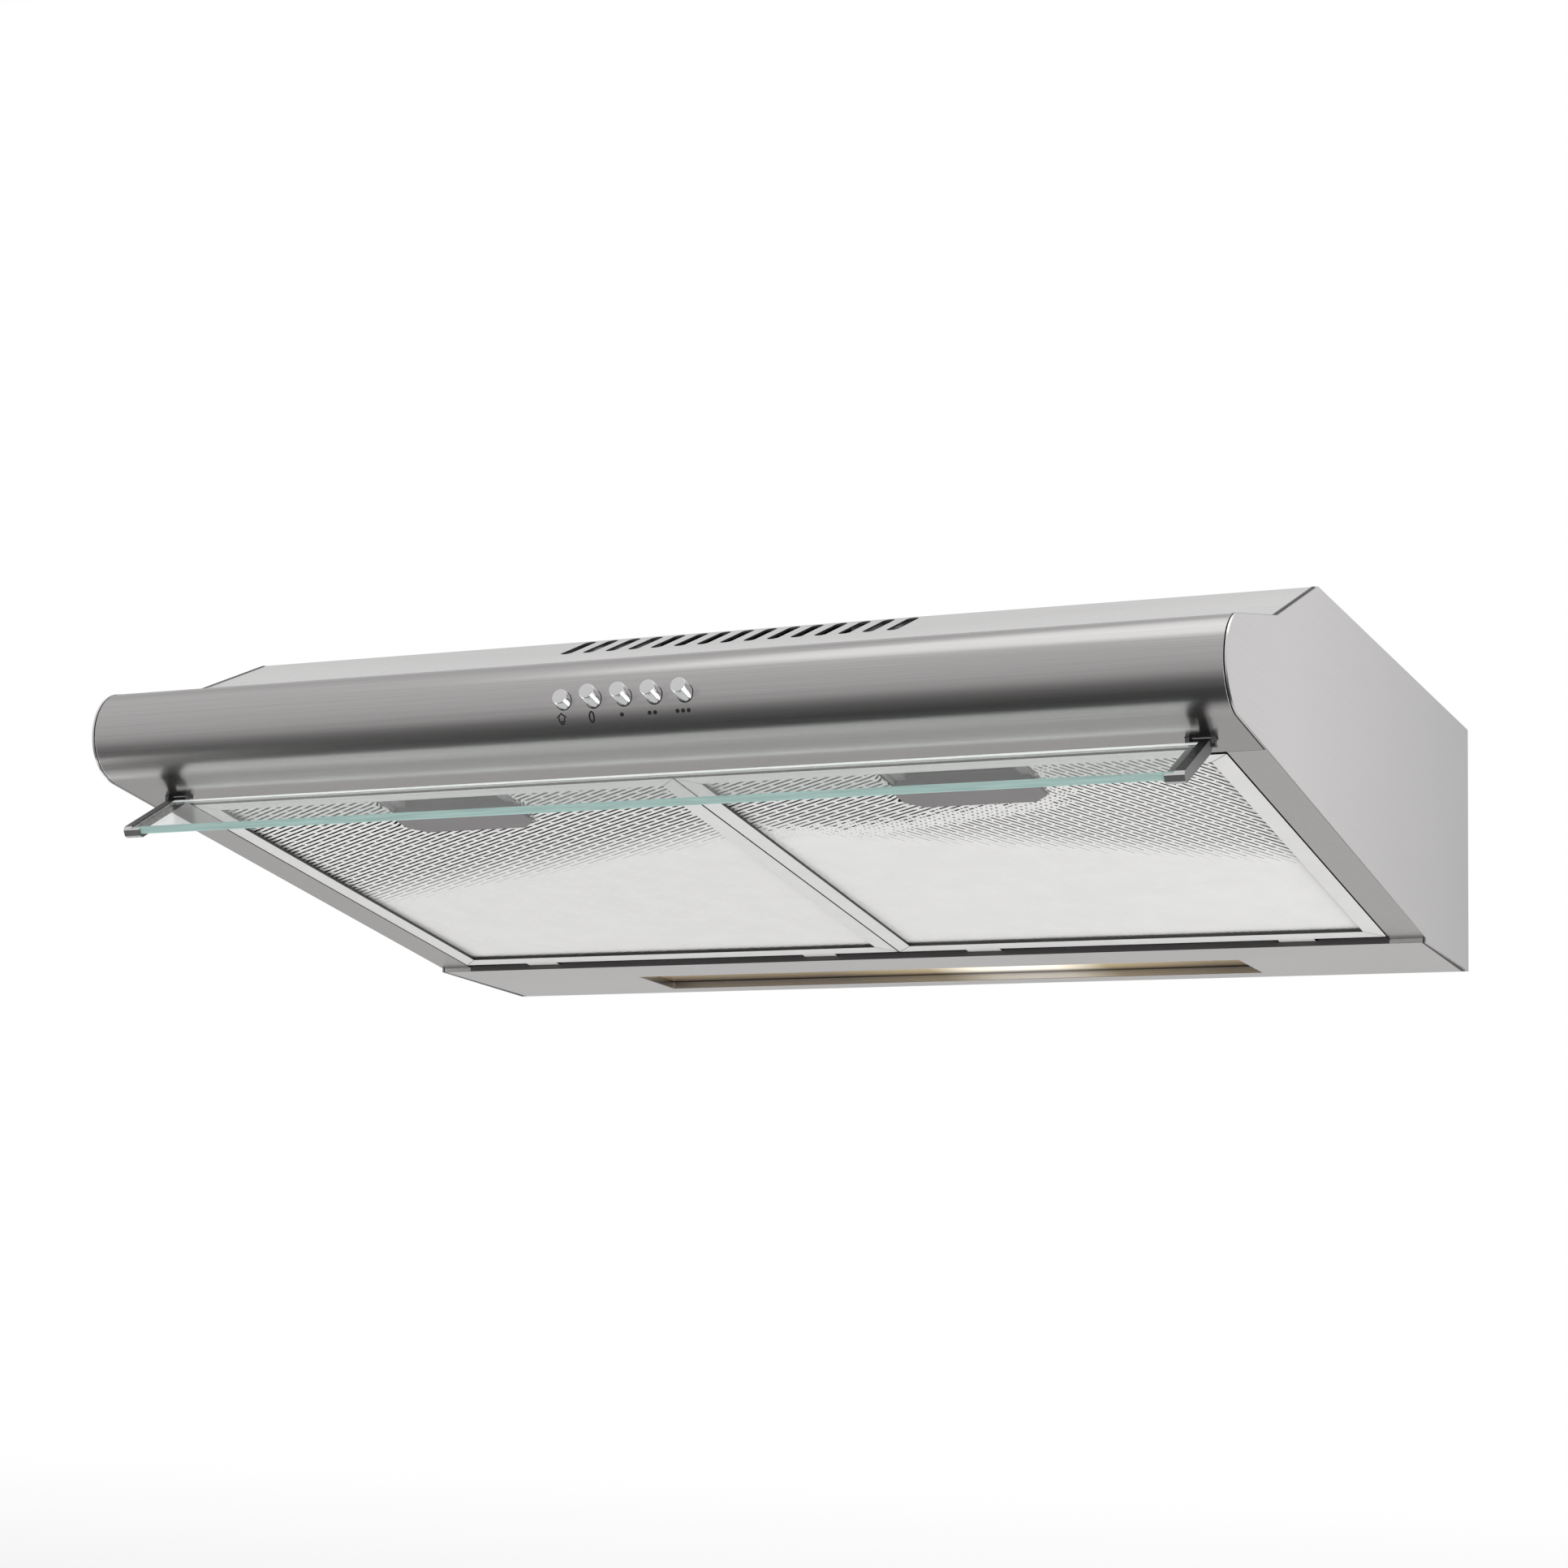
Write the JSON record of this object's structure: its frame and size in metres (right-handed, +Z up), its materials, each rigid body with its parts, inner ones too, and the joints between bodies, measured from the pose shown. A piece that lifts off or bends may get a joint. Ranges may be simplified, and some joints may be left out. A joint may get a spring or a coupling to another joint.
{
  "type": "under cabinet range hood",
  "caption": "Slim under-cabinet range hood: folded steel body with a rounded front, tilting glass visor, grease filters, push buttons, lamp strip and duct collar.",
  "frame": {"origin": "on the top face that lies against the cabinet, at mid-width, 25 mm in front of the wall face, on the rear line of fixing holes", "axes": "+X to the user's right as they face the hood, +Y to the wall, +Z up; the front and the buttons face -Y"},
  "size_m": [0.6, 0.4741, 0.166],
  "materials": {
    "brushed_stainless": "brushed stainless steel, grain along the width",
    "satin_aluminium": "satin rolled aluminium",
    "aluminium_mesh": "expanded aluminium foil, bare",
    "galvanised_steel": "galvanised sheet, dull",
    "chrome_plate": "polished plating",
    "zinc_plate": "zinc plated, satin",
    "grey_plastic": "satin moulded",
    "dark_plastic": "satin moulded, metallic dark grey",
    "black_plastic": "fine texture, moulded",
    "tempered_glass": "clear, green-tinted edges, polished",
    "lens_plastic": "translucent, satin",
    "bulb_glass": "frosted",
    "rubber": "matt",
    "cable_sheath": "smooth"
  },
  "bodies": {
    "housing": {"top_panel": "brushed_stainless", "front_panel": "brushed_stainless", "rear_panel": "brushed_stainless", "right_side_panel": "brushed_stainless", "left_side_panel": "brushed_stainless", "switch_block": "black_plastic", "switch_bracket": "galvanised_steel", "right_visor_bracket": "black_plastic", "right_visor_pin": "zinc_plate", "left_visor_bracket": "black_plastic", "left_visor_pin": "zinc_plate", "lamp_lens": "lens_plastic", "lamp_reflector": "satin_aluminium", "lamp_holder": "black_plastic", "lamp_bulb": "bulb_glass", "blower_casing": "black_plastic", "blower_cover": "black_plastic", "inlet_guard": "black_plastic", "motor_plate": "galvanised_steel", "motor_body": "galvanised_steel", "vent_duct": "galvanised_steel", "outlet_collar": "black_plastic", "damper_pin": "zinc_plate", "collar_screw_1": "zinc_plate", "collar_screw_2": "zinc_plate", "collar_screw_3": "zinc_plate", "collar_screw_4": "zinc_plate", "terminal_box": "black_plastic", "terminal_cover": "black_plastic", "cable_grommet": "rubber", "capacitor": "galvanised_steel", "capacitor_clip": "zinc_plate", "switch_lead": "cable_sheath", "lamp_lead": "cable_sheath", "motor_lead": "cable_sheath"},
    "right_filter": {"right_filter_frame": "satin_aluminium", "right_filter_mesh": "aluminium_mesh", "right_latch_housing": "grey_plastic"},
    "right_latch_slide": {"right_latch": "grey_plastic"},
    "left_filter": {"left_filter_frame": "satin_aluminium", "left_filter_mesh": "aluminium_mesh", "left_latch_housing": "grey_plastic"},
    "left_latch_slide": {"left_latch": "grey_plastic"},
    "visor": {"visor_glass": "tempered_glass", "right_visor_arm": "dark_plastic", "left_visor_arm": "dark_plastic"},
    "button_light_plunger": {"button_light": "chrome_plate"},
    "button_stop_plunger": {"button_stop": "chrome_plate"},
    "button_speed_1_plunger": {"button_speed_1": "chrome_plate"},
    "button_speed_2_plunger": {"button_speed_2": "chrome_plate"},
    "button_speed_3_plunger": {"button_speed_3": "chrome_plate"},
    "rotor": {"impeller": "grey_plastic", "impeller_nut": "zinc_plate", "motor_shaft": "zinc_plate"},
    "rear_damper": {"rear_damper_flap": "satin_aluminium"},
    "front_damper": {"front_damper_flap": "satin_aluminium"},
    "diverter": {"diverter_flap": "black_plastic"}
  },
  "joints": [
    {"name": "visor_hinge", "type": "hinge", "parent": "housing", "child": "visor", "pos_m": [0, -0.3953, -0.09872], "axis": [1, 0, 0], "range_deg": [-23, 59]},
    {"name": "right_filter_hinge", "type": "hinge", "parent": "housing", "child": "right_filter", "pos_m": [0.14, -0.07583, -0.13419], "axis": [1, 0, 0], "range_deg": [0, 48]},
    {"name": "right_latch_pull", "type": "slide", "parent": "right_filter", "child": "right_latch_slide", "axis": [0, 0.9925, -0.122], "range_m": [0, 0.005], "stiffness_N_per_m": 400, "springref_m": -0.002},
    {"name": "left_filter_hinge", "type": "hinge", "parent": "housing", "child": "left_filter", "pos_m": [-0.14, -0.07583, -0.13419], "axis": [1, 0, 0], "range_deg": [0, 48]},
    {"name": "left_latch_pull", "type": "slide", "parent": "left_filter", "child": "left_latch_slide", "axis": [0, 0.9925, -0.122], "range_m": [0, 0.005], "stiffness_N_per_m": 400, "springref_m": -0.002},
    {"name": "button_light_push", "type": "slide", "parent": "housing", "child": "button_light_plunger", "axis": [0, -0.9703, 0.2419], "range_m": [0, 0.0037]},
    {"name": "button_stop_push", "type": "slide", "parent": "housing", "child": "button_stop_plunger", "axis": [0, 0.9703, -0.2419], "range_m": [0, 0.0037], "stiffness_N_per_m": 500, "springref_m": -0.001},
    {"name": "button_speed_1_push", "type": "slide", "parent": "housing", "child": "button_speed_1_plunger", "axis": [0, 0.9703, -0.2419], "range_m": [0, 0.0037], "stiffness_N_per_m": 500, "springref_m": -0.001},
    {"name": "button_speed_2_push", "type": "slide", "parent": "housing", "child": "button_speed_2_plunger", "axis": [0, 0.9703, -0.2419], "range_m": [0, 0.0037], "stiffness_N_per_m": 500, "springref_m": -0.001},
    {"name": "button_speed_3_push", "type": "slide", "parent": "housing", "child": "button_speed_3_plunger", "axis": [0, 0.9703, -0.2419], "range_m": [0, 0.0037], "stiffness_N_per_m": 500, "springref_m": -0.001},
    {"name": "impeller_spin", "type": "hinge", "parent": "housing", "child": "rotor", "pos_m": [-0.15, -0.173, -0.04], "axis": [0, 0, 1], "continuous": true},
    {"name": "rear_damper_hinge", "type": "hinge", "parent": "housing", "child": "rear_damper", "pos_m": [0, -0.125, 0.01], "axis": [1, 0, 0], "range_deg": [0, 80]},
    {"name": "front_damper_hinge", "type": "hinge", "parent": "housing", "child": "front_damper", "pos_m": [0, -0.125, 0.01], "axis": [-1, 0, 0], "range_deg": [0, 80]},
    {"name": "diverter_hinge", "type": "hinge", "parent": "housing", "child": "diverter", "pos_m": [0, -0.185, -0.0653], "axis": [-1, 0, 0], "range_deg": [0, 50]}
  ]
}
